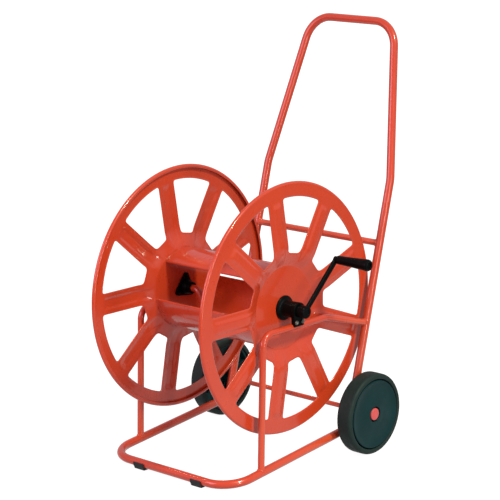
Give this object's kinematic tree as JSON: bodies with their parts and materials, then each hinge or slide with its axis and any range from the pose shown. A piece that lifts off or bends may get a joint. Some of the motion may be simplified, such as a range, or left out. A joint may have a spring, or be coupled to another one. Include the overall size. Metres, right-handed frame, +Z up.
{
  "type": "garden hose reel cart",
  "caption": "Wheeled hose reel cart: a pierced sheet-metal reel with a crank turns in a bent-tube frame with a tall handle, rear wheels and front feet.",
  "frame": {"origin": "centre of the footprint, on the ground", "axes": "+Z up, +X towards the crank side along the reel's axle, +Y towards the wheels and the handle"},
  "size_m": [0.5882, 0.7583, 1.0303],
  "materials": {
    "red_paint": "glossy orange-red powder coat",
    "red_plastic": "smooth coral red moulding",
    "black_plastic": "satin moulded black",
    "foot_rubber": "matte black",
    "tyre_rubber": "satin grey-black",
    "zinc": "bright zinc plate"
  },
  "bodies": {
    "frame": {"base_tube": "red_paint", "handle_tube": "red_paint", "left_support": "red_paint", "right_support": "red_paint", "cross_bar": "red_paint", "wheel_axle": "red_paint", "left_foot_pad": "foot_rubber", "right_foot_pad": "foot_rubber", "left_bearing": "black_plastic", "right_bearing": "black_plastic", "left_bearing_bolt_1": "zinc", "left_bearing_bolt_2": "zinc", "right_bearing_bolt_1": "zinc", "right_bearing_bolt_2": "zinc", "left_axle_cap": "red_plastic", "right_axle_cap": "red_plastic"},
    "reel": {"left_disc": "red_paint", "left_disc_rim": "red_paint", "right_disc": "red_paint", "right_disc_rim": "red_paint", "drum_top_plate": "red_paint", "drum_lower_plate": "red_paint", "drum_back_plate": "red_paint", "left_hub": "black_plastic", "right_hub": "black_plastic", "hose_flange": "black_plastic", "hose_collar": "black_plastic", "hose_elbow": "red_paint", "water_inlet": "black_plastic", "crank_boss": "black_plastic", "crank_arm": "black_plastic", "grip_pin": "black_plastic"},
    "grip": {"grip": "black_plastic"},
    "left_wheel": {"left_wheel_hub": "black_plastic", "left_tyre": "tyre_rubber"},
    "right_wheel": {"right_wheel_hub": "black_plastic", "right_tyre": "tyre_rubber"}
  },
  "joints": [
    {"name": "reel_spin", "type": "hinge", "parent": "frame", "child": "reel", "pos_m": [-0.03185, -0.0791, 0.3924], "axis": [1, 0, 0], "continuous": true},
    {"name": "grip_spin", "type": "hinge", "parent": "reel", "child": "grip", "pos_m": [0.19865, 0.03242, 0.4986], "axis": [1, 0, 0], "continuous": true},
    {"name": "left_wheel_spin", "type": "hinge", "parent": "frame", "child": "left_wheel", "pos_m": [-0.27265, 0.1446, 0.1], "axis": [1, 0, 0], "continuous": true},
    {"name": "right_wheel_spin", "type": "hinge", "parent": "frame", "child": "right_wheel", "pos_m": [0.20895, 0.1446, 0.1], "axis": [1, 0, 0], "continuous": true}
  ]
}
